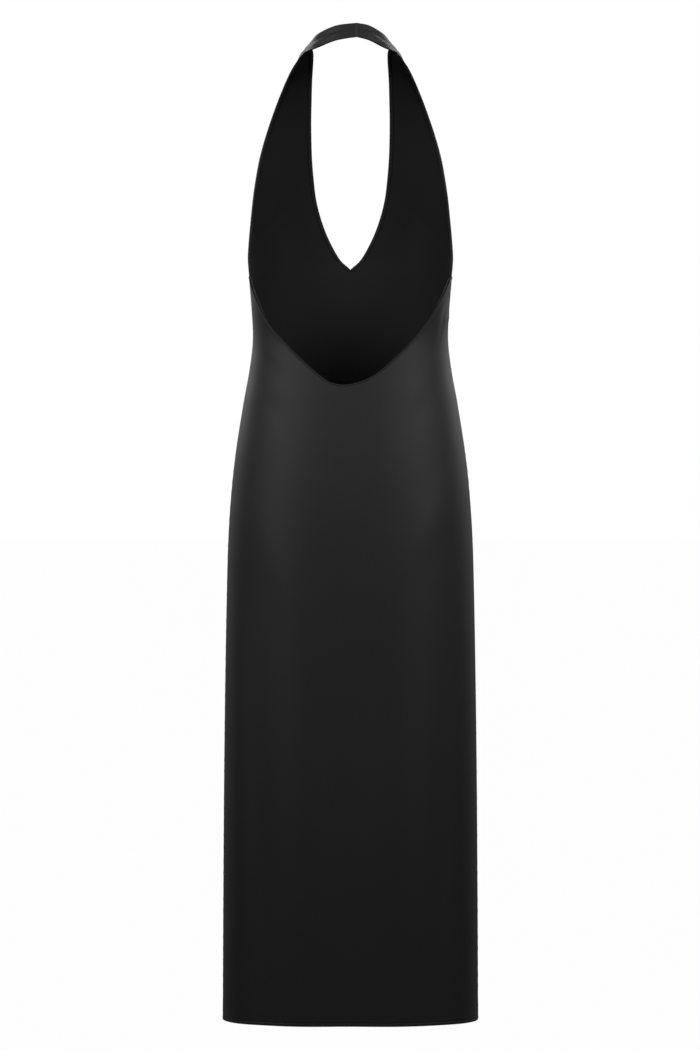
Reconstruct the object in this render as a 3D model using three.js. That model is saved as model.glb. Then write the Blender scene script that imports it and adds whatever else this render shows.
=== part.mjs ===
// Halter midi dress in black satin-backed crepe, held open in its worn form.
//
// Millimetres, +Z up. X runs across the dress, with the wearer's left at +X. The front faces -Y
// and the open back faces +Y. Heights in the tables are measured from a level 12 mm below the hem,
// and depths from the upright plane that passes through both sides. The finished group is then moved so that the
// origin lies where the neck carries the dress: on the inside of the neck band, at its mid height,
// at the centre of the nape.
//
// Each panel is a grid of points on the outside of the cloth, with its wall laid inwards along the
// normals. Each turned edge is the rim of a panel's own grid, moved in past the panel's wall.

import * as THREE from 'three';
import { mergeVertices } from 'three/addons/utils/BufferGeometryUtils.js';

const CLOTH = 1.2; // wall of the panels
const TURNED_CLOTH = 1.0; // wall of the turned edges and hems
const SEAM_GAP = 0.3; // between neighbouring pieces
const TURNED_GAP = 0.7; // between a panel and the edge that is turned in behind it
const EDGE_WIDTH = 4; // turned edge of the neckline, armholes and back
const HEM_HEIGHT = 12; // of the hem's lower edge
const HEM_WIDTH = 5; // turned hem
const SEAM_ANGLE = THREE.MathUtils.degToRad(5); // side seam, this far behind the side line
const UNDERARM_HEIGHT = 971; // top of the side seams
const SCOOP_START_HEIGHT = 790; // below this the back's rows are level
const NAPE = { depth: 57.7, height: 1285.5 }; // where the neck band bears on the neck

// The body of the dress: a superellipse at each height, with its own front and back depth.
const FORM = [
  { height: 0, halfWidth: 165.4, front: 110, back: 111, squareness: 2.7 },
  { height: 170, halfWidth: 164.7, front: 110, back: 112, squareness: 2.65 },
  { height: 370, halfWidth: 163.2, front: 110, back: 113, squareness: 2.55 },
  { height: 550, halfWidth: 160.4, front: 109, back: 114, squareness: 2.45 },
  { height: 650, halfWidth: 157.3, front: 106, back: 112, squareness: 2.4 },
  { height: 735, halfWidth: 149.8, front: 102, back: 105, squareness: 2.35 },
  { height: 810, halfWidth: 138.3, front: 98, back: 94, squareness: 2.3 },
  { height: 850, halfWidth: 131, front: 96, back: 87, squareness: 2.3 },
  { height: 890, halfWidth: 126.5, front: 96, back: 82, squareness: 2.3 },
  { height: 930, halfWidth: 128.2, front: 99, back: 83, squareness: 2.35 },
  { height: 971, halfWidth: 131.6, front: 105, back: 87, squareness: 2.4 },
  { height: 1000, halfWidth: 134.2, front: 110, back: 90, squareness: 2.5 },
  { height: 1050, halfWidth: 140.2, front: 112, back: 92, squareness: 2.6 },
  { height: 1103, halfWidth: 147.2, front: 106, back: 92, squareness: 2.6 },
  { height: 1156, halfWidth: 154, front: 92, back: 88, squareness: 2.6 },
  { height: 1206, halfWidth: 153, front: 73, back: 80, squareness: 2.6 },
  { height: 1300, halfWidth: 140, front: 50, back: 60, squareness: 2.6 },
];

// Soft fullness that the cut gives over the bust, on each side of the front.
const BUST = { out: 84, height: 1030, spreadOut: 46, spreadUp: 62, rise: 12 };

// One half of the yoke and its strap. Each row joins a point of the neckline, or of the band's
// upper edge, to one of the armhole, or of the band's lower edge. The first row lies at the
// underarm and the second at the point of the V; the last is the seam at the nape. Rows up to the
// V start on the centre line, so the first row's inX only sets how the neckline leaves the V.
const YOKE = [
  { inX: -13.6, inY: -105, inZ: 971, outX: 131.1, outY: 7.6, outZ: 971 },
  { inX: 0, inY: -108, inZ: 986.5, outX: 133, outY: -12, outZ: 988 },
  { inX: 13.6, inY: -110.5, inZ: 1000, outX: 133.6, outY: -24, outZ: 1001 },
  { inX: 28.3, inY: -111, inZ: 1026.5, outX: 132.6, outY: -43, outZ: 1024 },
  { inX: 38.5, inY: -109.5, inZ: 1053, outX: 130.6, outY: -57, outZ: 1050 },
  { inX: 45.1, inY: -106, inZ: 1079, outX: 128.1, outY: -66, outZ: 1077 },
  { inX: 48.4, inY: -100, inZ: 1105, outX: 124.5, outY: -71, outZ: 1103.5 },
  { inX: 50.5, inY: -93, inZ: 1130.5, outX: 119.7, outY: -74, outZ: 1130 },
  { inX: 51.3, inY: -85, inZ: 1156, outX: 112.8, outY: -74, outZ: 1156 },
  { inX: 51.4, inY: -76, inZ: 1182, outX: 104.5, outY: -71, outZ: 1181 },
  { inX: 50.8, inY: -66, inZ: 1207, outX: 95.1, outY: -64, outZ: 1206 },
  { inX: 50.1, inY: -54, inZ: 1232, outX: 85, outY: -51, outZ: 1229 },
  { inX: 49, inY: -40.5, inZ: 1255, outX: 77, outY: -34, outZ: 1243.5 },
  { inX: 49.4, inY: -25, inZ: 1268, outX: 69, outY: -15, outZ: 1253.5 },
  { inX: 52.6, inY: -9, inZ: 1271.5, outX: 63.6, outY: 3, outZ: 1258.5 },
  { inX: 54.6, inY: 8, inZ: 1271, outX: 59.3, outY: 20.5, outZ: 1260.5 },
  { inX: 50.5, inY: 25, inZ: 1275, outX: 53, outY: 37, outZ: 1262 },
  { inX: 41.3, inY: 40, inZ: 1283, outX: 42.5, outY: 49, outZ: 1265 },
  { inX: 21.5, inY: 54.5, inZ: 1291.5, outX: 22, outY: 60, outZ: 1272.5 },
  { inX: 0.15, inY: 58.5, inZ: 1294.5, outX: 0.15, outY: 62.5, outZ: 1276.5 },
];
const V_ROW = 1; // YOKE row of the point of the V
const V_TAB_ROW = 0.7; // lower end of the turned neckline edge, below the V
const STRAP_ROW = 11; // from this YOKE row on, the grid takes a row at each half step

// The scooped top of the back: its height at each distance from the centre line, where out is
// positive on the wearer's left.
const SCOOP = [
  { out: -129.7, height: 969.5 },
  { out: -117.2, height: 941 },
  { out: -93.6, height: 904 },
  { out: -64, height: 871 },
  { out: -31.7, height: 842.4 },
  { out: 0, height: 829.8 },
  { out: 24.7, height: 832 },
  { out: 48.1, height: 848.7 },
  { out: 81.7, height: 881.5 },
  { out: 108.9, height: 914.7 },
  { out: 126.3, height: 952.8 },
  { out: 131, height: 971 },
];

const HALF_COLUMNS = 9; // of the front, on each side of its centre line
const BACK_COLUMNS = 20;
const BODY_ROWS = 17; // level rows between the hem and the underarm or the scoop
const SCOOP_ROWS = 5;
const SCOOP_PASSES = 12; // to find where each upright line of the form meets the scoop

const PANEL = new THREE.Color(0.022, 0.022, 0.022);
const TURNED = new THREE.Color(0.03, 0.03, 0.03);

/** Cubic through a table's column, with each slope taken from the neighbouring rows. */
function curve(table, key, column) {
  const at = (i) => table[i][key];
  const value = (i) => table[i][column];
  const slope = (i) => {
    const low = Math.max(i - 1, 0);
    const high = Math.min(i + 1, table.length - 1);
    return (value(high) - value(low)) / (at(high) - at(low));
  };
  return (place) => {
    let i = 0;
    while (i < table.length - 2 && place > at(i + 1)) i += 1;
    const span = at(i + 1) - at(i);
    const t = (place - at(i)) / span;
    const s = 1 - t;
    const ends = value(i) * s * s * (1 + 2 * t) + value(i + 1) * t * t * (3 - 2 * t);
    return ends + span * t * s * (slope(i) * s - slope(i + 1) * t);
  };
}

const halfWidthAt = curve(FORM, 'height', 'halfWidth');
const frontAt = curve(FORM, 'height', 'front');
const backAt = curve(FORM, 'height', 'back');
const squarenessAt = curve(FORM, 'height', 'squareness');
const scoopAt = curve(SCOOP, 'out', 'height');

/** Share of the superellipse's radius at an angle: 1 on its axes, more towards its corners. */
function stretch(angle, squareness) {
  const x = Math.abs(Math.cos(angle)) ** squareness;
  const y = Math.abs(Math.sin(angle)) ** squareness;
  return (x + y) ** (-1 / squareness);
}

/** Point of the form: angle 0 is the wearer's left side, and -90 degrees the centre front. */
function formPoint(angle, height) {
  const depth = angle < 0 ? frontAt(height) : backAt(height);
  const radius = stretch(angle, squarenessAt(height));
  const x = halfWidthAt(height) * Math.cos(angle) * radius;
  const y = depth * Math.sin(angle) * radius;
  const across = (Math.abs(x) - BUST.out) / BUST.spreadOut;
  const up = (height - BUST.height) / BUST.spreadUp;
  const fullness = angle < 0 ? BUST.rise * Math.exp(-across * across - up * up) : 0;
  return new THREE.Vector3(x, y - fullness, height);
}

/** Angle of the form at which a point lies. */
function formAngle(point) {
  const depth = point.y < 0 ? frontAt(point.z) : backAt(point.z);
  return Math.atan2(point.y / depth, point.x / halfWidthAt(point.z));
}

/** Angle at a height that spans half of the seam gap. */
function seamClearance(height) {
  return SEAM_GAP / 2 / backAt(height);
}

/** Shares of a row's length at which its points lie, with one point EDGE_WIDTH from each end. */
function shares(length, columns) {
  const rim = EDGE_WIDTH / length;
  const list = [0];
  for (let i = 0; i <= columns - 2; i += 1) list.push(rim + (1 - 2 * rim) * (i / (columns - 2)));
  list.push(1);
  return list;
}

/** Length of a row of points. */
function rowLength(row) {
  let total = 0;
  for (let i = 1; i < row.length; i += 1) total += row[i].distanceTo(row[i - 1]);
  return total;
}

/** Row from one point to another: it follows the form, and is eased to meet both of them. */
function rowBetween(from, to, columns) {
  const startAngle = formAngle(from);
  const turn = formAngle(to) - startAngle;
  const fromShift = from.clone().sub(formPoint(startAngle, from.z));
  const toShift = to.clone().sub(formPoint(startAngle + turn, to.z));
  const pointAt = (share) => {
    const height = THREE.MathUtils.lerp(from.z, to.z, share);
    const point = formPoint(startAngle + turn * share, height);
    return point.add(fromShift.clone().lerp(toShift, share));
  };
  const length = rowLength(shares(EDGE_WIDTH * columns, columns).map(pointAt));
  return shares(length, columns).map(pointAt);
}

/** Heights of the level rows, from the hem to a top, the second of them at the hem's stitching. */
function levelHeights(top) {
  const heights = [HEM_HEIGHT];
  for (let i = 0; i < BODY_ROWS; i += 1) {
    heights.push(THREE.MathUtils.lerp(HEM_HEIGHT + HEM_WIDTH, top, i / (BODY_ROWS - 1)));
  }
  return heights;
}

/** Rows of the wearer's left half of the front, from the hem to the nape. */
function frontRows() {
  const rows = levelHeights(UNDERARM_HEIGHT).map((height) => {
    const centre = formPoint(-Math.PI / 2, height);
    return rowBetween(centre, formPoint(SEAM_ANGLE - seamClearance(height), height), HALF_COLUMNS);
  });
  const numbered = YOKE.map((row, number) => ({ ...row, number }));
  const edges = {};
  for (const column of ['inX', 'inY', 'inZ', 'outX', 'outY', 'outZ']) {
    edges[column] = curve(numbered, 'number', column);
  }
  const places = [V_TAB_ROW];
  for (let place = V_ROW; place < STRAP_ROW; place += 1) places.push(place);
  for (let place = STRAP_ROW; place <= YOKE.length - 1; place += 0.5) places.push(place);
  for (const place of places) {
    const inner = new THREE.Vector3(edges.inX(place), edges.inY(place), edges.inZ(place));
    const outer = new THREE.Vector3(edges.outX(place), edges.outY(place), edges.outZ(place));
    if (place <= V_ROW) inner.x = 0;
    rows.push(rowBetween(inner, outer, HALF_COLUMNS));
  }
  return rows;
}

/** Rows of the back, from the hem to the scoop, each from the wearer's left to the right. */
function backRows() {
  const last = BACK_COLUMNS;
  const start = SEAM_ANGLE;
  const angles = shares(UNDERARM_HEIGHT / 3, last).map((share) => start + (Math.PI - 2 * start) * share);
  const tops = angles.map((angle) => {
    let top = UNDERARM_HEIGHT;
    for (let pass = 0; pass < SCOOP_PASSES; pass += 1) {
      const out = formPoint(angle, top).x;
      top = scoopAt(THREE.MathUtils.clamp(out, SCOOP[0].out, SCOOP[SCOOP.length - 1].out));
    }
    return top;
  });
  tops[0] = UNDERARM_HEIGHT;
  tops[last] = UNDERARM_HEIGHT;
  const point = (column, height) => {
    const side = column === 0 ? 1 : column === last ? -1 : 0;
    return formPoint(angles[column] + side * seamClearance(height), height);
  };
  const rows = levelHeights(SCOOP_START_HEIGHT).map((height) => angles.map((_, i) => point(i, height)));
  for (let row = 1; row <= SCOOP_ROWS; row += 1) {
    rows.push(angles.map((_, i) => {
      const share = row / SCOOP_ROWS;
      return point(i, THREE.MathUtils.lerp(SCOOP_START_HEIGHT, tops[i] - EDGE_WIDTH, share));
    }));
  }
  rows.push(angles.map((_, i) => point(i, tops[i])));
  return rows;
}

/** Outward normal of a grid at a row and column, from the points around it. */
function normalAt(rows, row, column) {
  const line = rows[row];
  const across = line[Math.min(column + 1, line.length - 1)].clone().sub(line[Math.max(column - 1, 0)]);
  const above = rows[Math.min(row + 1, rows.length - 1)][column];
  const up = above.clone().sub(rows[Math.max(row - 1, 0)][column]);
  return across.cross(up).normalize();
}

/** Normals of a grid. Rows whose first or last point lies on the centre plane have theirs in it. */
function gridNormals(rows) {
  return rows.map((line, row) => line.map((point, column) => {
    const normal = normalAt(rows, row, column);
    if (column === 0 && Math.abs(point.x) < 1e-6) normal.x = 0;
    if (Math.abs(point.x) < SEAM_GAP && row === rows.length - 1) normal.x = 0;
    return normal.normalize();
  }));
}

/**
 * Triangles of a wall on part of a grid, between two depths below its outer face. openRows is how
 * many of its rows, from the first, have no wall at their first column because they go on there.
 */
function wall(grid, { rows, columns, depths, openRows = 0 }) {
  const triangles = [];
  const face = (a, b, c, d) => triangles.push(a, b, c, a, c, d);
  const at = (row, column, depth) =>
    grid.points[row][column].clone().addScaledVector(grid.normals[row][column], -depth);
  const [outer, inner] = depths;
  for (let row = rows[0]; row < rows[1]; row += 1) {
    for (let column = columns[0]; column < columns[1]; column += 1) {
      const corners = [[row, column], [row, column + 1], [row + 1, column + 1], [row + 1, column]];
      const outside = corners.map(([r, c]) => at(r, c, outer));
      const inside = corners.map(([r, c]) => at(r, c, inner));
      face(...outside);
      face(inside[3], inside[2], inside[1], inside[0]);
      if (row === rows[0]) face(outside[1], outside[0], inside[0], inside[1]);
      if (row === rows[1] - 1) face(outside[3], outside[2], inside[2], inside[3]);
      if (column === columns[1] - 1) face(outside[2], outside[1], inside[1], inside[2]);
      if (column === columns[0] && row >= rows[0] + openRows) {
        face(outside[0], outside[3], inside[3], inside[0]);
      }
    }
  }
  return triangles;
}

/** The same triangles on the other side of the centre plane. */
function mirrored(triangles) {
  const list = [];
  for (let i = 0; i < triangles.length; i += 3) {
    for (const corner of [0, 2, 1]) {
      const point = triangles[i + corner];
      list.push(new THREE.Vector3(-point.x, point.y, point.z));
    }
  }
  return list;
}

/** Named mesh of closed triangles, moved so that the origin lies at the nape. */
function cloth(name, triangles, color) {
  const geometry = mergeVertices(new THREE.BufferGeometry().setFromPoints(triangles), 1e-4);
  const material = new THREE.MeshStandardMaterial({ color, roughness: 0.5, metalness: 0 });
  const mesh = new THREE.Mesh(geometry, material);
  mesh.name = name;
  mesh.position.set(0, -NAPE.depth, -NAPE.height);
  return mesh;
}

/** Grid of points with its normals. */
function gridOf(points) {
  return { points, normals: gridNormals(points) };
}

const front = gridOf(frontRows());
const back = gridOf(backRows());
const frontTop = front.points.length - 1;
const backTop = back.points.length - 1;
const underarmRow = BODY_ROWS;
const tabRow = underarmRow + 1;
const panelDepths = [0, CLOTH];
const turnedDepths = [CLOTH + TURNED_GAP, CLOTH + TURNED_GAP + TURNED_CLOTH];

const frontHalf = wall(front, {
  rows: [0, frontTop],
  columns: [0, HALF_COLUMNS],
  depths: panelDepths,
  openRows: tabRow + 1,
});
const necklineHalf = wall(front, {
  rows: [tabRow, frontTop],
  columns: [0, 1],
  depths: turnedDepths,
  openRows: 1,
});
const armholeHalf = wall(front, {
  rows: [underarmRow, frontTop],
  columns: [HALF_COLUMNS - 1, HALF_COLUMNS],
  depths: turnedDepths,
});
const frontHemHalf = wall(front, {
  rows: [0, 1],
  columns: [0, HALF_COLUMNS],
  depths: turnedDepths,
  openRows: 1,
});
const backPanel = wall(back, { rows: [0, backTop], columns: [0, BACK_COLUMNS], depths: panelDepths });
const backEdge = wall(back, {
  rows: [backTop - 1, backTop],
  columns: [0, BACK_COLUMNS],
  depths: turnedDepths,
});
const backHem = wall(back, { rows: [0, 1], columns: [0, BACK_COLUMNS], depths: turnedDepths });

const dress = new THREE.Group();
dress.add(
  cloth('front_panel', [...frontHalf, ...mirrored(frontHalf)], PANEL),
  cloth('back_panel', backPanel, PANEL),
  cloth('neckline_edge', [...necklineHalf, ...mirrored(necklineHalf)], TURNED),
  cloth('armhole_edge_left', armholeHalf, TURNED),
  cloth('armhole_edge_right', mirrored(armholeHalf), TURNED),
  cloth('back_edge', backEdge, TURNED),
  cloth('front_hem', [...frontHemHalf, ...mirrored(frontHemHalf)], TURNED),
  cloth('back_hem', backHem, TURNED),
);

export default dress;
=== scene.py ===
"""Halter midi dress in black satin-backed crepe: the finished look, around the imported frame.

Lengths in the tables are millimetres. Heights are measured from a level 12 mm below the hem, and depths
from the upright plane through both sides, with the wearer's left at +X and the open back at +Y. Meshes
are written in metres with the origin on the inside of the neck band at the nape.
"""
import logging
import math
from dataclasses import dataclass, field
from enum import Enum
from typing import Callable, NamedTuple, Sequence

import bmesh
import bpy
import numpy as np
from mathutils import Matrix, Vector


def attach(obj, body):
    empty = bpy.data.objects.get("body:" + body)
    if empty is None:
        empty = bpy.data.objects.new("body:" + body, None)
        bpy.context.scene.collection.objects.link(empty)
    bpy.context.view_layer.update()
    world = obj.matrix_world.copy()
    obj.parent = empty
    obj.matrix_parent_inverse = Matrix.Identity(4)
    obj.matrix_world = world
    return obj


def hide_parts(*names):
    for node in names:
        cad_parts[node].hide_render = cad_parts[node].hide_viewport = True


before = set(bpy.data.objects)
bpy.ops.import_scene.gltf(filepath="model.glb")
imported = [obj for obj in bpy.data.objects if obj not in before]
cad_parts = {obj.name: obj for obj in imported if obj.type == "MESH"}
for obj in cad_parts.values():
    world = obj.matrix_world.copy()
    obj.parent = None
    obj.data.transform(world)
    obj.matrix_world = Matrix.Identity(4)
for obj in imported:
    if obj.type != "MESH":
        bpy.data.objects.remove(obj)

LOG = logging.getLogger("halter_dress")
ROOT = "root"
MM = 0.001
NAPE_DEPTH = 57.7
NAPE_HEIGHT = 1285.5
HEM_HEIGHT = 12.0
CLOTH = 1.2
TURNED_GAP = 0.25
TURNED_CLOTH = 0.8
SEAM_GAP = 0.03
SEAM_ANGLE = math.radians(5)
UNDERARM_HEIGHT = 971.0
LEVEL_START = 34.0
LEVEL_TOP = 790.0


class Slot(Enum):
    """Material slots of the record."""

    CLOTH = "dress_cloth"
    TURNED = "turned_edge"


class FormRow(NamedTuple):
    """One level section of the dress."""

    height: float
    half_width: float
    front: float
    back: float
    squareness: float


class YokeRow(NamedTuple):
    """Ends of one row across the yoke or strap: neckline side, then armhole side."""

    in_x: float
    in_y: float
    in_z: float
    out_x: float
    out_y: float
    out_z: float


class ScoopRow(NamedTuple):
    """Height of the back's top edge at a distance from the centre line."""

    out: float
    height: float


FORM = (
    FormRow(0, 165.4, 110, 111, 2.7),
    FormRow(170, 164.7, 110, 112, 2.65),
    FormRow(370, 163.2, 110, 113, 2.55),
    FormRow(550, 160.4, 109, 114, 2.45),
    FormRow(650, 157.3, 106, 112, 2.4),
    FormRow(735, 149.8, 102, 105, 2.35),
    FormRow(810, 138.3, 98, 94, 2.3),
    FormRow(850, 131, 96, 87, 2.3),
    FormRow(890, 126.5, 96, 82, 2.3),
    FormRow(930, 128.2, 99, 83, 2.35),
    FormRow(971, 131.6, 105, 87, 2.4),
    FormRow(1000, 134.2, 110, 90, 2.5),
    FormRow(1050, 140.2, 112, 92, 2.6),
    FormRow(1103, 147.2, 106, 92, 2.6),
    FormRow(1156, 154, 92, 88, 2.6),
    FormRow(1206, 153, 73, 80, 2.6),
    FormRow(1300, 140, 50, 60, 2.6),
)

YOKE = (
    YokeRow(-13.6, -105, 971, 131.1, 7.6, 971),
    YokeRow(0, -108, 986.5, 133, -12, 988),
    YokeRow(13.6, -110.5, 1000, 133.6, -24, 1001),
    YokeRow(28.3, -111, 1026.5, 132.6, -43, 1024),
    YokeRow(38.5, -109.5, 1053, 130.6, -57, 1050),
    YokeRow(45.1, -106, 1079, 128.1, -66, 1077),
    YokeRow(48.4, -100, 1105, 124.5, -71, 1103.5),
    YokeRow(50.5, -93, 1130.5, 119.7, -74, 1130),
    YokeRow(51.3, -85, 1156, 112.8, -74, 1156),
    YokeRow(51.4, -76, 1182, 104.5, -71, 1181),
    YokeRow(50.8, -66, 1207, 95.1, -64, 1206),
    YokeRow(50.1, -54, 1232, 85, -51, 1229),
    YokeRow(49, -40.5, 1255, 77, -34, 1243.5),
    YokeRow(49.4, -25, 1268, 69, -15, 1253.5),
    YokeRow(52.6, -9, 1271.5, 63.6, 3, 1258.5),
    YokeRow(54.6, 8, 1271, 59.3, 20.5, 1260.5),
    YokeRow(50.5, 25, 1275, 53, 37, 1262),
    YokeRow(41.3, 40, 1283, 42.5, 49, 1265),
    YokeRow(21.5, 54.5, 1291.5, 22, 60, 1272.5),
    YokeRow(0.02, 58.5, 1294.5, 0.02, 62.5, 1276.5),
)
V_PLACE = 1.0
NAPE_PLACE = len(YOKE) - 1
ON_PLANE = 1e-6

SCOOP = (
    ScoopRow(-129.7, 969.5),
    ScoopRow(-117.2, 941),
    ScoopRow(-93.6, 904),
    ScoopRow(-64, 871),
    ScoopRow(-31.7, 842.4),
    ScoopRow(0, 829.8),
    ScoopRow(24.7, 832),
    ScoopRow(48.1, 848.7),
    ScoopRow(81.7, 881.5),
    ScoopRow(108.9, 914.7),
    ScoopRow(126.3, 952.8),
    ScoopRow(131, 971),
)


@dataclass(frozen=True)
class Crease:
    """A soft ridge or trough along a straight line on the cloth.

    Attributes:
        x: place across, wearer's left positive.
        height: height of its middle.
        lean: how far it moves across for each millimetre upwards.
        length: half length over which it fades.
        width: half width over which it fades.
        rise: height of the ridge, or depth of the trough if negative.
    """

    x: float
    height: float
    lean: float
    length: float
    width: float
    rise: float


BACK_CREASES = (
    Crease(66, 300, 0.01, 330, 30, 4.2),
    Crease(-64, 280, -0.015, 310, 33, 4.0),
    Crease(2, 250, 0.0, 330, 34, -3.6),
    Crease(118, 230, 0.02, 280, 20, -2.8),
    Crease(-121, 260, -0.02, 260, 19, -3.0),
    Crease(140, 330, 0.02, 240, 12, 1.8),
    Crease(-104, 655, -0.5, 60, 22, 1.8),
    Crease(98, 610, 0.35, 75, 24, 1.4),
    Crease(60, 760, 0.9, 60, 12, -0.8),
    Crease(-66, 770, -0.8, 52, 11, -0.9),
    Crease(-30, 720, -0.4, 70, 16, 0.7),
    Crease(-122, 925, -0.25, 26, 2.6, -1.6),
    Crease(-119, 908, -0.6, 22, 4.0, 0.9),
    Crease(112, 880, 0.7, 26, 9, 0.5),
    Crease(103, 858, 0.8, 30, 9, -0.45),
    Crease(18, 560, 0.2, 120, 30, -0.9),
)

FRONT_CREASES = (
    Crease(58, 260, 0.0, 320, 31, 4.2),
    Crease(-69, 300, 0.01, 300, 29, 3.8),
    Crease(-6, 240, 0.02, 300, 33, -3.4),
    Crease(112, 250, -0.02, 250, 21, -2.6),
    Crease(-116, 220, 0.02, 280, 20, -2.9),
    Crease(60, 900, 0.7, 60, 13, -0.9),
    Crease(-56, 890, -0.8, 64, 14, -1.0),
    Crease(104, 1046, -0.7, 34, 8, 1.1),
    Crease(-103, 1040, 0.75, 36, 8, 1.2),
    Crease(113, 1030, -0.9, 26, 5, -0.7),
    Crease(-112, 1024, 0.9, 28, 5, -0.7),
    Crease(0, 960, 0.1, 40, 14, -0.8),
)

RIM_MM = np.array([0.0, 0.35, 0.8, 1.3, 1.8, 2.2, 2.6, 3.1, 4.0, 5.2])
HEM_MM = np.array([0.0, 0.4, 1.0, 2.0, 3.2, 3.9, 4.3, 4.7, 5.4, 7.0, 10.0])
STITCH_LINE = 2.2
HEM_LINE = 4.3
RIM_STEPS = len(RIM_MM) - 1
RIM_STITCH_STEP = int(np.argmin(np.abs(RIM_MM - STITCH_LINE)))
HEM_STITCH_ROW = int(np.argmin(np.abs(HEM_MM - HEM_LINE)))
HEM_TURNING_ROWS = len(HEM_MM) - 2
HEM_LIP = 0.35
HEM_GROOVE = 0.45
YOKE_GROOVE = 0.08
SCOOP_LIP = 0.9
SCOOP_GROOVE = 0.9
SEAM_SINK = 0.25
SEAM_SPREAD = 2.0


def hermite(at: Sequence[float], values: Sequence[float]) -> Callable[[np.ndarray], np.ndarray]:
    """Cubic through points, each slope being that of the chord between its neighbours.

    Args:
        at: increasing places.
        values: value at each place.

    Returns:
        Function of an array of places.
    """
    x = np.asarray(at, float)
    y = np.asarray(values, float)
    low = np.maximum(np.arange(len(x)) - 1, 0)
    high = np.minimum(np.arange(len(x)) + 1, len(x) - 1)
    slope = (y[high] - y[low]) / (x[high] - x[low])

    def value(place: np.ndarray) -> np.ndarray:
        """Value of the cubic at each place."""
        i = np.clip(np.searchsorted(x, place, side="left") - 1, 0, len(x) - 2)
        span = x[i + 1] - x[i]
        t = (place - x[i]) / span
        s = 1 - t
        ends = y[i] * s * s * (1 + 2 * t) + y[i + 1] * t * t * (3 - 2 * t)
        return ends + span * t * s * (slope[i] * s - slope[i + 1] * t)

    return value


def column(rows: Sequence[NamedTuple], key: str, name: str) -> Callable[[np.ndarray], np.ndarray]:
    """Cubic through one named column of a table of named rows."""
    return hermite([getattr(r, key) for r in rows], [getattr(r, name) for r in rows])


@dataclass(frozen=True)
class Bust:
    """Soft fullness that the cut gives over the bust, on each side."""

    out: float = 84
    height: float = 1030
    spread_out: float = 46
    spread_up: float = 62
    rise: float = 12


@dataclass
class DressForm:
    """The general form that the dress keeps: a superellipse at each height."""

    rows: Sequence[FormRow] = FORM
    bust: Bust = field(default_factory=Bust)

    def __post_init__(self) -> None:
        """Prepares the cubics through the table's columns."""
        self.half_width = column(self.rows, "height", "half_width")
        self.front = column(self.rows, "height", "front")
        self.back = column(self.rows, "height", "back")
        self.squareness = column(self.rows, "height", "squareness")

    def point(self, angle: np.ndarray, height: np.ndarray) -> np.ndarray:
        """Points at angles and heights: x and y are the axes' shares of a superellipse's radius.

        Args:
            angle: 0 at the wearer's left, minus a quarter turn at the centre front.
            height: height on the scale of the tables.

        Returns:
            Array of points, with x, y and z last.
        """
        angle, height = np.broadcast_arrays(angle, height)
        n = self.squareness(height)
        cosine = np.cos(angle)
        sine = np.sin(angle)
        radius = (np.abs(cosine) ** n + np.abs(sine) ** n) ** (-1 / n)
        depth = np.where(angle < 0, self.front(height), self.back(height))
        x = self.half_width(height) * cosine * radius
        b = self.bust
        across = (np.abs(x) - b.out) / b.spread_out
        swell = np.exp(-across ** 2 - ((height - b.height) / b.spread_up) ** 2)
        y = depth * sine * radius - np.where(angle < 0, b.rise * swell, 0)
        return np.stack([x, y, height], -1)

    def angle(self, point: np.ndarray) -> np.ndarray:
        """Angles at which points lie on the form."""
        z = point[..., 2]
        depth = np.where(point[..., 1] < 0, self.front(z), self.back(z))
        return np.arctan2(point[..., 1] / depth, point[..., 0] / self.half_width(z))


@dataclass
class Grid:
    """Points on the outside of a panel, in rows, with their outward normals and flat places."""

    points: np.ndarray
    normals: np.ndarray
    flat: np.ndarray

    @staticmethod
    def of(points: np.ndarray) -> "Grid":
        """Grid of points: a normal is the cross product of the chords across and up.

        Args:
            points: rows of points, each row across the cloth and the rows upwards.

        Returns:
            The grid, whose flat places are lengths along the middle row and column.
        """
        padded_c = np.concatenate([points[:, :1], points, points[:, -1:]], 1)
        across = padded_c[:, 2:] - padded_c[:, :-2]
        padded_r = np.concatenate([points[:1], points, points[-1:]], 0)
        up = padded_r[2:] - padded_r[:-2]
        normals = np.cross(across, up)
        on_plane = np.abs(points[..., 0]) < ON_PLANE
        normals[..., 0][on_plane] = 0
        normals /= np.linalg.norm(normals, axis=-1, keepdims=True)
        steps_u = np.linalg.norm(np.diff(points, axis=1), axis=-1)
        steps_v = np.linalg.norm(np.diff(points, axis=0), axis=-1)
        u = np.concatenate([np.zeros((len(points), 1)), np.cumsum(steps_u, 1)], 1)
        v = np.concatenate([np.zeros((1, points.shape[1])), np.cumsum(steps_v, 0)], 0)
        return Grid(points, normals, np.stack([u, v], -1))

    def moved(self, rise: np.ndarray) -> "Grid":
        """The grid moved out along its normals by a rise at each point, with new normals."""
        grid = Grid.of(self.points + self.normals * rise[..., None])
        grid.flat = self.flat
        return grid


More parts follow.
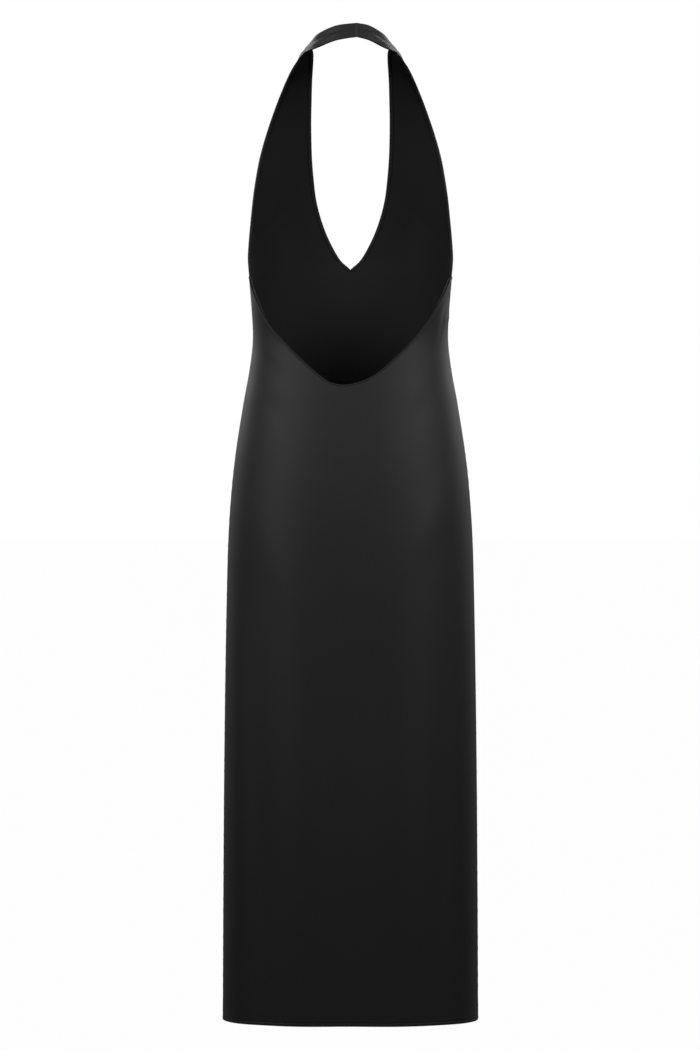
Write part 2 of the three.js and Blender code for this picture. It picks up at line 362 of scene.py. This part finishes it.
@dataclass
class Wall:
    """A closed wall of cloth: points, quads, flat places, and which quads lie on its reverse."""

    points: np.ndarray
    quads: np.ndarray
    flat: np.ndarray
    reverse: np.ndarray

    @staticmethod
    def on(grid: Grid, rows: slice, columns: slice, depths: tuple[float, float],
           open_rows: int = 0) -> "Wall":
        """Wall between two depths below part of a grid.

        Args:
            grid: the panel's grid.
            rows: rows that it covers.
            columns: columns that it covers.
            depths: depth of its outer and inner face.
            open_rows: how many rows, from the first, go on past its first column.

        Returns:
            The wall: its two faces, and a strip along each end that is not open.
        """
        points = grid.points[rows, columns]
        normals = grid.normals[rows, columns]
        flat = grid.flat[rows, columns].reshape(-1, 2)
        nr, nc = points.shape[:2]
        outer = (points - normals * depths[0]).reshape(-1, 3)
        inner = (points - normals * depths[1]).reshape(-1, 3)
        n = nr * nc
        index = np.arange(n).reshape(nr, nc)
        face = np.stack([index[:-1, :-1], index[:-1, 1:], index[1:, 1:], index[1:, :-1]], -1).reshape(-1, 4)

        def strip(line: np.ndarray) -> np.ndarray:
            """Quads from a line on the outer face to the same line on the inner one."""
            return np.stack([line[:-1], line[:-1] + n, line[1:] + n, line[1:]], -1)

        quads = [
            face,
            face[:, ::-1] + n,
            strip(index[0]),
            strip(index[-1, ::-1]),
            strip(index[:, -1]),
            strip(index[open_rows:, 0][::-1]),
        ]
        reverse = np.zeros(sum(len(q) for q in quads), bool)
        reverse[len(face):2 * len(face)] = True
        points = np.concatenate([outer, inner])
        return Wall(points, np.concatenate(quads), np.concatenate([flat, flat]), reverse)

    def mirrored(self) -> "Wall":
        """The same wall on the other side of the centre plane, still facing out."""
        return Wall(self.points * (-1, 1, 1), self.quads[:, ::-1], self.flat * (-1, 1), self.reverse)

    def joined(self, other: "Wall") -> "Wall":
        """Both walls as one set of points and quads."""
        return Wall(
            np.concatenate([self.points, other.points]),
            np.concatenate([self.quads, other.quads + len(self.points)]),
            np.concatenate([self.flat, other.flat]),
            np.concatenate([self.reverse, other.reverse]),
        )


def to_frame(points: np.ndarray) -> np.ndarray:
    """Points in the tables' millimetres as metres from the nape."""
    return (points - (0, NAPE_DEPTH, NAPE_HEIGHT)) * MM


def piece(name: str, wall: Wall, weld: bool = False) -> bpy.types.Object:
    """Object made of a wall, smooth, with its flat places as a UV map in metres.

    Args:
        name: the piece's name.
        wall: its points and quads.
        weld: whether points that coincide become one.

    Returns:
        The new object, at the origin.
    """
    mesh = bpy.data.meshes.new(name)
    mesh.from_pydata(to_frame(wall.points), [], wall.quads)
    uv = mesh.uv_layers.new(name="flat")
    loops = np.empty(len(mesh.loops), np.int32)
    mesh.loops.foreach_get("vertex_index", loops)
    uv.data.foreach_set("uv", (wall.flat[loops] * MM).ravel())
    if weld:
        data = bmesh.new()
        data.from_mesh(mesh)
        bmesh.ops.remove_doubles(data, verts=data.verts, dist=1e-6)
        data.to_mesh(mesh)
        data.free()
    mesh.polygons.foreach_set("use_smooth", np.ones(len(mesh.polygons), bool))
    mesh.polygons.foreach_set("material_index", wall.reverse.astype(np.int32))
    mesh.update()
    made = bpy.data.objects.new(name, mesh)
    bpy.context.collection.objects.link(made)
    LOG.info("%s: %d faces", name, len(mesh.polygons))
    return made


def crease_rise(points: np.ndarray, creases: Sequence[Crease]) -> np.ndarray:
    """Rise at each point: each crease is a bell across its line times a bell along it."""
    total = np.zeros(points.shape[:-1])
    for c in creases:
        up = points[..., 2] - c.height
        across = points[..., 0] - c.x - c.lean * up
        across = across / math.sqrt(1 + c.lean * c.lean)
        total += c.rise * np.exp(-((across / c.width) ** 2) - (up / c.length) ** 2)
    return total


def rim_rise(distance: np.ndarray, line: float, lip: float, groove: float) -> np.ndarray:
    """Rise of a turned edge: a rounded lip at the rim and a narrow groove along its stitches.

    Args:
        distance: distance in from the edge.
        line: distance of the stitches from the edge.
        lip: rise of the lip.
        groove: depth of the groove.

    Returns:
        Rise at each distance, falling to nothing just past the turning.
    """
    lip_bell = lip * np.exp(-(((distance - line * 0.45) / (line * 0.5)) ** 2))
    groove_bell = groove * np.exp(-(((distance - line) / 0.38) ** 2))
    beyond = 0.4 * lip * np.exp(-(((distance - line - 1.3) / 0.8) ** 2))
    return lip_bell - groove_bell + beyond


@dataclass(frozen=True)
class Finish:
    """Black satin-backed crepe: fine twill, soft sheen, slightly uneven colour.

    Attributes:
        name: the material's name.
        color: linear base colour.
        roughness: middle of its roughness.
        sheen: weight of the soft nap.
        specular: strength of its gloss.
        twill: threads in a metre.
    """

    name: str
    color: tuple[float, float, float]
    roughness: float
    sheen: float
    specular: float
    twill: float = 1900

    def material(self) -> bpy.types.Material:
        """Node material: twill lines and a crepe grain raise a bump on the flat cloth's UV map."""
        mat = bpy.data.materials.new(self.name)
        mat.use_nodes = True
        nodes = mat.node_tree.nodes
        link = mat.node_tree.links.new
        shader = nodes["Principled BSDF"]
        shader.inputs["Sheen Weight"].default_value = self.sheen
        shader.inputs["Sheen Roughness"].default_value = 0.5
        shader.inputs["Specular IOR Level"].default_value = self.specular
        place = nodes.new("ShaderNodeUVMap")
        place.uv_map = "flat"
        turn = nodes.new("ShaderNodeMapping")
        turn.inputs["Rotation"].default_value = (0, 0, math.radians(63))
        link(place.outputs["UV"], turn.inputs["Vector"])
        twill = nodes.new("ShaderNodeTexWave")
        twill.inputs["Scale"].default_value = self.twill / 20
        twill.inputs["Distortion"].default_value = 0.6
        twill.inputs["Detail"].default_value = 1
        link(turn.outputs["Vector"], twill.inputs["Vector"])
        grain = nodes.new("ShaderNodeTexNoise")
        grain.inputs["Scale"].default_value = 900
        grain.inputs["Detail"].default_value = 3
        link(place.outputs["UV"], grain.inputs["Vector"])
        weave = nodes.new("ShaderNodeMath")
        weave.operation = "ADD"
        link(twill.outputs["Fac"], weave.inputs[0])
        link(grain.outputs["Fac"], weave.inputs[1])
        bump = nodes.new("ShaderNodeBump")
        bump.inputs["Strength"].default_value = 0.25
        bump.inputs["Distance"].default_value = 0.00012
        link(weave.outputs["Value"], bump.inputs["Height"])
        link(bump.outputs["Normal"], shader.inputs["Normal"])
        coords = nodes.new("ShaderNodeTexCoord")
        cloudy = nodes.new("ShaderNodeTexNoise")
        cloudy.inputs["Scale"].default_value = 6
        cloudy.inputs["Detail"].default_value = 4
        link(coords.outputs["Object"], cloudy.inputs["Vector"])
        tone = nodes.new("ShaderNodeMix")
        tone.data_type = "RGBA"
        tone.inputs["A"].default_value = (*[c * 0.86 for c in self.color], 1)
        tone.inputs["B"].default_value = (*[c * 1.14 for c in self.color], 1)
        link(cloudy.outputs["Fac"], tone.inputs["Factor"])
        link(tone.outputs["Result"], shader.inputs["Base Color"])
        gloss = nodes.new("ShaderNodeMapRange")
        gloss.inputs["To Min"].default_value = self.roughness - 0.06
        gloss.inputs["To Max"].default_value = self.roughness + 0.06
        link(grain.outputs["Fac"], gloss.inputs["Value"])
        link(gloss.outputs["Result"], shader.inputs["Roughness"])
        return mat


def dress_piece(made: bpy.types.Object, finish: bpy.types.Material, nodes: Sequence[str],
                reverse: bpy.types.Material | None = None) -> None:
    """Gives a piece its finishes, body, slot and the nodes that it stands for."""
    made.data.materials.append(finish)
    # Second slot, on the inner faces: the reverse finish when one is given, whose darker base colour is
    # painted shade.
    made.data.materials.append(reverse or finish)
    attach(made, ROOT)
    if nodes:
        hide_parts(*nodes)


@dataclass
class Stitches:
    """A row of short sunk stitches, one joined mesh.

    Attributes:
        length: of one stitch.
        pitch: from one stitch to the next.
        thread: its thickness.
    """

    length: float = 2.1
    pitch: float = 2.9
    thread: float = 0.32

    def wall(self, line: np.ndarray, normals: np.ndarray) -> Wall:
        """Stitches along a line: each is a rounded six-sided bead, thin at its ends.

        Args:
            line: points of the line on the cloth.
            normals: outward normals there.

        Returns:
            All of the stitches as one set of quads.
        """
        steps = np.linalg.norm(np.diff(line, axis=0), axis=1)
        run = np.concatenate([[0], np.cumsum(steps)])
        count = int(run[-1] // self.pitch) - 1
        middle = (np.arange(count) + 1) * self.pitch
        share = np.array([-0.5, -0.42, 0.0, 0.42, 0.5])
        width = np.array([0.12, 0.8, 1.0, 0.8, 0.12])
        at = middle[:, None] + share * self.length

        def sample(values: np.ndarray, where: np.ndarray) -> np.ndarray:
            """Values along the line at the given distances."""
            return np.stack([np.interp(where, run, values[:, k]) for k in range(3)], -1)

        centre = sample(line, at)
        normal = sample(normals, at)
        along = sample(line, at + 0.5) - sample(line, at - 0.5)
        along /= np.linalg.norm(along, axis=-1, keepdims=True)
        normal -= along * np.sum(normal * along, -1, keepdims=True)
        normal /= np.linalg.norm(normal, axis=-1, keepdims=True)
        side = np.cross(along, normal)
        around = 6
        turn = np.arange(around) * math.pi / 3
        ring = normal[:, :, None] * np.cos(turn)[:, None] + side[:, :, None] * np.sin(turn)[:, None] * 1.2
        ring = centre[:, :, None] + ring * (width * self.thread / 2)[:, None, None]
        index = np.arange(count * len(share) * around).reshape(count, len(share), around)
        after = np.roll(index, -1, 2)
        sides = np.stack([index[:, :-1], index[:, 1:], after[:, 1:], after[:, :-1]], -1).reshape(-1, 4)
        first, last = index[:, 0], index[:, -1]
        caps = [
            first[:, [0, 1, 2, 3]],
            first[:, [0, 3, 4, 5]],
            last[:, [3, 2, 1, 0]],
            last[:, [5, 4, 3, 0]],
        ]
        points = ring.reshape(-1, 3)
        quads = np.concatenate([sides, *caps])
        return Wall(points, quads, points[:, :2], np.zeros(len(quads), bool))


def rim_shares(length: np.ndarray, inner: int) -> np.ndarray:
    """Shares of a row at which its points lie: close together along both rims, even between.

    Args:
        length: each row's length.
        inner: how many steps there are between the rims.

    Returns:
        One row of shares for each length.
    """
    rim = RIM_MM[None] / length[:, None]
    start = rim[:, -1:]
    even = start + (1 - 2 * start) * (np.arange(1, inner) / inner)[None]
    return np.concatenate([rim, even, 1 - rim[:, ::-1]], 1)


@dataclass
class FrontPanel:
    """The front, with both halter straps cut in one with it and joined at the nape."""

    form: DressForm
    body_rows: int = 96
    yoke_step: float = 0.125
    inner_columns: int = 26
    flat_size: tuple[float, float] = (0.46, 1.42)
    flat_area: float = 0.492
    nape_shift: float = -8.0

    def rows_between(self, start: np.ndarray, end: np.ndarray) -> np.ndarray:
        """Rows that follow the form from start to end, eased to meet both points."""
        a0 = self.form.angle(start)
        turn = self.form.angle(end) - a0
        shift0 = start - self.form.point(a0, start[:, 2])
        shift1 = end - self.form.point(a0 + turn, end[:, 2])

        def at(share: np.ndarray) -> np.ndarray:
            """Points at shares of each row."""
            z = start[:, None, 2] + (end - start)[:, None, 2] * share
            base = self.form.point(a0[:, None] + turn[:, None] * share, z)
            return base + shift0[:, None] * (1 - share[..., None]) + shift1[:, None] * share[..., None]

        coarse = at(np.broadcast_to(np.linspace(0, 1, 40), (len(start), 40)))
        length = np.linalg.norm(np.diff(coarse, axis=1), axis=-1).sum(1)
        return at(rim_shares(length, self.inner_columns))

    def grid(self) -> tuple[Grid, int, int]:
        """Grid of the wearer's left half.

        Returns:
            The grid, the row of the underarm and the row of the V's point.
        """
        body = np.linspace(LEVEL_START, UNDERARM_HEIGHT, self.body_rows)
        level = np.concatenate([HEM_HEIGHT + HEM_MM, body])
        centre = self.form.point(np.full(len(level), -math.pi / 2), level)
        centre[:, 0] = 0
        seam = self.form.point(SEAM_ANGLE - SEAM_GAP / 2 / self.form.back(level), level)
        number = np.arange(len(YOKE))
        place = np.arange(self.yoke_step, len(YOKE) - 1 + 1e-9, self.yoke_step)
        edge = [hermite(number, [row[k] for row in YOKE])(place) for k in range(6)]
        inner = np.stack(edge[:3], -1)
        inner[place <= V_PLACE, 0] = 0
        outer = np.stack(edge[3:], -1)
        points = self.rows_between(np.concatenate([centre, inner]), np.concatenate([seam, outer]))
        v_row = len(level) + int(np.searchsorted(place, V_PLACE))
        return Grid.of(points), len(level) - 1, v_row

    def band_rise(self, grid: Grid, first: int, side: float) -> np.ndarray:
        """Long creases of the neck band: troughs that run out from the gathered nape seam.

        Args:
            grid: the half's grid.
            first: the underarm's row.
            side: 1 on the wearer's left and -1 on the right.

        Returns:
            Rise at each point.
        """
        place = (np.arange(len(grid.points))[:, None] - first) * self.yoke_step
        left = NAPE_PLACE - place
        width = grid.flat[:, -1:, 0]
        share = grid.flat[..., 0] / width
        near = 1 / (1 + np.exp(-(place - 16.2) * 2.6))
        apart = 1 - np.exp(-((left / 0.5) ** 2))
        if side > 0:
            trough = 0.33 + 0.04 * left
            ridge = 0.63 + 0.03 * left
        else:
            trough = 0.30 + 0.10 * np.maximum(18.2 - place, 0) ** 1.3
            ridge = 0.62 + 0.05 * left
        rise = -0.9 * np.exp(-(((share - trough) / 0.13) ** 2))
        rise += 0.8 * np.exp(-(((share - ridge) / 0.18) ** 2))
        rise += -0.35 * np.exp(-(((share - 0.9) / 0.08) ** 2))
        pinch = np.exp(-((left / 0.16) ** 2))
        return near * apart * rise - 0.5 * pinch * np.sin(np.pi * share)

    def half(self, side: float) -> tuple[Wall, Grid, int, int]:
        """One half's wall and grid, on the wearer's left, with that side's own creases."""
        grid, underarm, v_row = self.grid()
        mirror = np.array([side, 1, 1])
        rise = crease_rise(grid.points * mirror, FRONT_CREASES)
        fade = np.clip((1200 - grid.points[..., 2]) / 60, 0, 1)
        from_out = grid.flat[:, -1:, 0] - grid.flat[..., 0]
        away = 1 - np.exp(-((from_out / 14) ** 2))
        rise = rise * fade * away + self.band_rise(grid, underarm, side)
        yoke = (np.arange(len(grid.points)) > underarm)[:, None]
        necked = (np.arange(len(grid.points)) > v_row)[:, None]
        rise = rise - np.where(yoke, rim_rise(from_out, STITCH_LINE, 0.0, YOKE_GROOVE), 0)
        rise = rise - np.where(necked, rim_rise(grid.flat[..., 0], STITCH_LINE, 0.0, YOKE_GROOVE), 0)
        hem = rim_rise(grid.points[..., 2] - HEM_HEIGHT, HEM_LINE, HEM_LIP, HEM_GROOVE)
        rise = rise + np.where(yoke, 0, 1) * hem
        seam = np.exp(-((from_out / SEAM_SPREAD) ** 2)) * np.where(yoke, 0, 1)
        centre = np.abs(grid.points[..., 0]) < ON_PLANE
        moved = grid.moved(rise - SEAM_SINK * seam)
        moved.points[centre, 0] = 0
        place = (np.arange(len(grid.points)) - underarm) * self.yoke_step
        lean = np.clip((place - 16.5) / 2.5, 0, 1) ** 2 * self.nape_shift * side
        moved.points[..., 0] += lean[:, None]
        wall = Wall.on(moved, slice(None), slice(None), (0, CLOTH), open_rows=v_row)
        return wall, moved, underarm, v_row

    def build(self, cloth: bpy.types.Material, reverse: bpy.types.Material,
              turned: bpy.types.Material) -> None:
        stitches = Stitches()
        walls, necks, arms, hems, threads = [], [], [], [], []
        depths = (CLOTH + TURNED_GAP, CLOTH + TURNED_GAP + TURNED_CLOTH)
        for side in (1.0, -1.0):
            wall, grid, underarm, v_row = self.half(side)
            neck = Wall.on(grid, slice(v_row - 1, None), slice(0, RIM_STEPS), depths, open_rows=1)
            arm = Wall.on(grid, slice(underarm, None), slice(-RIM_STEPS, None), depths)
            hem = Wall.on(grid, slice(0, HEM_TURNING_ROWS), slice(None), depths,
                          open_rows=HEM_TURNING_ROWS - 1)
            inside = grid.points - grid.normals * (depths[1] - 0.05)
            line = RIM_STITCH_STEP
            sewn = [
                stitches.wall(inside[v_row:, line], -grid.normals[v_row:, line]),
                stitches.wall(inside[underarm:, -1 - line], -grid.normals[underarm:, -1 - line]),
                stitches.wall(grid.points[HEM_STITCH_ROW], grid.normals[HEM_STITCH_ROW]),
            ]
            made = [wall, neck, arm, hem, *sewn]
            if side < 0:
                made = [w.mirrored() for w in made]
            walls.append(made[0])
            necks.append(made[1])
            arms.append(made[2])
            hems.append(made[3])
            threads.extend(made[4:])
        panel = piece("front_cloth", walls[0].joined(walls[1]), weld=True)
        dress_piece(panel, cloth, ["front_panel"], reverse)
        neck = piece("neckline_turning", necks[0].joined(necks[1]), weld=True)
        dress_piece(neck, turned, ["neckline_edge"])
        for name, wall in zip(("left", "right"), arms):
            arm = piece(f"armhole_turning_{name}", wall)
            dress_piece(arm, turned, [f"armhole_edge_{name}"])
        hem = piece("front_hem_turning", hems[0].joined(hems[1]), weld=True)
        dress_piece(hem, turned, ["front_hem"])
        thread = threads[0]
        for more in threads[1:]:
            thread = thread.joined(more)
        sewing = piece("front_stitches", thread)
        dress_piece(sewing, turned, [])


@dataclass
class BackPanel:
    """The back, from the hem up to its low scooped edge."""

    form: DressForm
    inner_columns: int = 84
    level_rows: int = 110
    scoop_rows: int = 26
    scoop_passes: int = 12
    flat_size: tuple[float, float] = (0.46, 0.975)
    flat_area: float = 0.37

    def grid(self) -> Grid:
        """Grid from the wearer's left seam to the right one."""
        length = np.array([420.0])
        share = rim_shares(length, self.inner_columns)[0]
        angle = SEAM_ANGLE + (math.pi - 2 * SEAM_ANGLE) * share
        scoop = column(SCOOP, "out", "height")
        top = np.full(len(angle), UNDERARM_HEIGHT)
        for _ in range(self.scoop_passes):
            out = self.form.point(angle, top)[:, 0]
            top = scoop(np.clip(out, SCOOP[0].out, SCOOP[-1].out))
        top[0] = top[-1] = UNDERARM_HEIGHT
        level = np.concatenate([HEM_HEIGHT + HEM_MM, np.linspace(LEVEL_START, LEVEL_TOP, self.level_rows)])
        rising = LEVEL_TOP + (top[None] - RIM_MM[-1] - LEVEL_TOP) * (
            np.arange(1, self.scoop_rows) / self.scoop_rows)[:, None]
        rim = top[None] - RIM_MM[::-1, None]
        height = np.concatenate([np.repeat(level[:, None], len(angle), 1), rising, rim])
        ease = np.zeros(len(angle))
        ease[0] = SEAM_GAP / 2
        ease[-1] = -SEAM_GAP / 2
        points = self.form.point(angle[None] + ease[None] / self.form.back(height), height)
        return Grid.of(points)

    def build(self, cloth: bpy.types.Material, reverse: bpy.types.Material,
              turned: bpy.types.Material) -> None:
        grid = self.grid()
        z = grid.points[..., 2]
        top = z[-1:]
        rise = crease_rise(grid.points, BACK_CREASES) * np.clip((top - z) / 12, 0, 1)
        strength = 0.6 + 0.4 * (np.abs(grid.points[..., 0]) / 130)
        rise += rim_rise(top - z, STITCH_LINE, SCOOP_LIP, SCOOP_GROOVE) * strength * (top - z < 12)
        rise += rim_rise(z - HEM_HEIGHT, HEM_LINE, HEM_LIP, HEM_GROOVE) * (z < HEM_HEIGHT + 15)
        width = grid.flat[:, -1:, 0]
        edge = np.minimum(grid.flat[..., 0], width - grid.flat[..., 0])
        rise -= SEAM_SINK * np.exp(-((edge / SEAM_SPREAD) ** 2))
        pucker = 0.22 * np.sin(grid.points[..., 2] / 2.6) * np.exp(-((edge - 3) / 4) ** 2)
        grid = grid.moved(rise + pucker * (z > HEM_HEIGHT + 8) * (top - z > 4))
        panel = piece("back_cloth", Wall.on(grid, slice(None), slice(None), (0, CLOTH)))
        dress_piece(panel, cloth, ["back_panel"], reverse)
        depths = (CLOTH + TURNED_GAP, CLOTH + TURNED_GAP + TURNED_CLOTH)
        turning = piece("back_turning", Wall.on(grid, slice(-RIM_STEPS, None), slice(None), depths))
        dress_piece(turning, turned, ["back_edge"])
        hem = piece("back_hem_turning", Wall.on(grid, slice(0, HEM_TURNING_ROWS), slice(None), depths))
        dress_piece(hem, turned, ["back_hem"])
        line = RIM_STITCH_STEP
        stitches = Stitches()
        thread = stitches.wall(grid.points[-1 - line], grid.normals[-1 - line])
        thread = thread.joined(stitches.wall(grid.points[HEM_STITCH_ROW], grid.normals[HEM_STITCH_ROW]))
        sewing = piece("back_stitches", thread)
        dress_piece(sewing, turned, [])


@dataclass
class Studio:
    """Pale floor, soft lamps and the level camera behind the dress."""

    distance: float = 5.8
    centre_height: float = 650.1
    view_height: float = 1360.8
    floor_drop: float = 0.25
    lamp_spread: float = 76

    def camera(self) -> None:
        """Level camera that looks at the back of the dress from its middle height."""
        data = bpy.data.cameras.new("view")
        data.sensor_width = 36
        data.lens = 36 * self.distance / (self.view_height * MM)
        eye = bpy.data.objects.new("view", data)
        eye.location = (0.0006, self.distance - NAPE_DEPTH * MM, (self.centre_height - NAPE_HEIGHT) * MM)
        eye.rotation_euler = (math.pi / 2, 0, math.pi)
        bpy.context.collection.objects.link(eye)
        bpy.context.scene.camera = eye

    def lamp(self, name: str, place: tuple, target: tuple, size: float, power: float) -> None:
        """Soft square lamp at a place, turned towards a target."""
        data = bpy.data.lights.new(name, "AREA")
        data.size = size
        data.spread = math.radians(self.lamp_spread)
        data.energy = power
        made = bpy.data.objects.new(name, data)
        made.location = place
        aim = Vector(target) - Vector(place)
        made.rotation_euler = aim.to_track_quat("-Z", "Y").to_euler()
        bpy.context.collection.objects.link(made)

    def backdrop(self) -> None:
        """Floor and world that are white to the camera and dim to everything else."""
        z = (-NAPE_HEIGHT) * MM - self.floor_drop
        side = 300.0
        mesh = bpy.data.meshes.new("floor")
        corners = [(-side, -side, z), (side, -side, z), (side, side, z), (-side, side, z)]
        mesh.from_pydata(corners, [], [(0, 1, 2, 3)])
        floor = bpy.data.objects.new("floor", mesh)
        bpy.context.collection.objects.link(floor)
        mat = bpy.data.materials.new("pale_floor")
        mat.use_nodes = True
        nodes = mat.node_tree.nodes
        link = mat.node_tree.links.new
        shader = nodes["Principled BSDF"]
        shader.inputs["Base Color"].default_value = (0.3, 0.3, 0.3, 1)
        shader.inputs["Roughness"].default_value = 0.9
        glow = nodes.new("ShaderNodeEmission")
        glow.inputs["Color"].default_value = (1, 1, 1, 1)
        rays = nodes.new("ShaderNodeLightPath")
        share = nodes.new("ShaderNodeMath")
        share.operation = "MULTIPLY"
        share.inputs[1].default_value = 0.985
        link(rays.outputs["Is Camera Ray"], share.inputs[0])
        mix = nodes.new("ShaderNodeMixShader")
        link(share.outputs["Value"], mix.inputs["Fac"])
        link(shader.outputs["BSDF"], mix.inputs[1])
        link(glow.outputs["Emission"], mix.inputs[2])
        link(mix.outputs["Shader"], nodes["Material Output"].inputs["Surface"])
        mesh.materials.append(mat)
        world = bpy.data.worlds.new("studio")
        bpy.context.scene.world = world
        world.use_nodes = True
        nodes = world.node_tree.nodes
        link = world.node_tree.links.new
        ground = nodes["Background"]
        ground.inputs["Color"].default_value = (1, 1, 1, 1)
        ground.inputs["Strength"].default_value = 0.06
        white = nodes.new("ShaderNodeBackground")
        white.inputs["Color"].default_value = (1, 1, 1, 1)
        white.inputs["Strength"].default_value = 1
        rays = nodes.new("ShaderNodeLightPath")
        mix = nodes.new("ShaderNodeMixShader")
        link(rays.outputs["Is Camera Ray"], mix.inputs["Fac"])
        link(ground.outputs["Background"], mix.inputs[1])
        link(white.outputs["Background"], mix.inputs[2])
        link(mix.outputs["Shader"], nodes["World Output"].inputs["Surface"])

    def build(self) -> None:
        """Places the camera, the lamps and the backdrop."""
        bpy.context.scene.view_settings.view_transform = "Standard"
        self.camera()
        self.lamp("key_left", (1.4, 1.1, 0.45), (0, 0, -0.35), 1.1, 4.9)
        self.lamp("key_right", (-1.4, 1.1, 0.45), (0, 0, -0.35), 1.1, 4.7)
        self.lamp("front_left", (1.2, -1.5, 0.45), (0, 0, -0.35), 1.1, 4.2)
        self.lamp("front_right", (-1.3, -1.4, 0.45), (0, 0, -0.35), 1.1, 4.2)
        self.backdrop()


def main() -> None:
    """Builds the dress and its studio around the frame."""
    logging.basicConfig(level=logging.INFO, format="%(message)s")
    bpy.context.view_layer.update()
    cloth = Finish("black_crepe", (0.0165, 0.0165, 0.0168), 0.6, 0.05, 0.3).material()
    turned = Finish("turned_crepe", (0.0125, 0.0125, 0.0127), 0.58, 0.03, 0.22).material()
    # Reverse of the crepe: its rough, low-gloss finish is the cloth's own, but its darker base colour is
    # painted shade for the inside of the dress.
    reverse = Finish("crepe_reverse_painted_shade", (0.013, 0.013, 0.0132), 0.75, 0.0, 0.1).material()
    form = DressForm()
    Studio().build()
    FrontPanel(form).build(cloth, reverse, turned)
    BackPanel(form).build(cloth, reverse, turned)


if __name__ == "__main__":
    main()
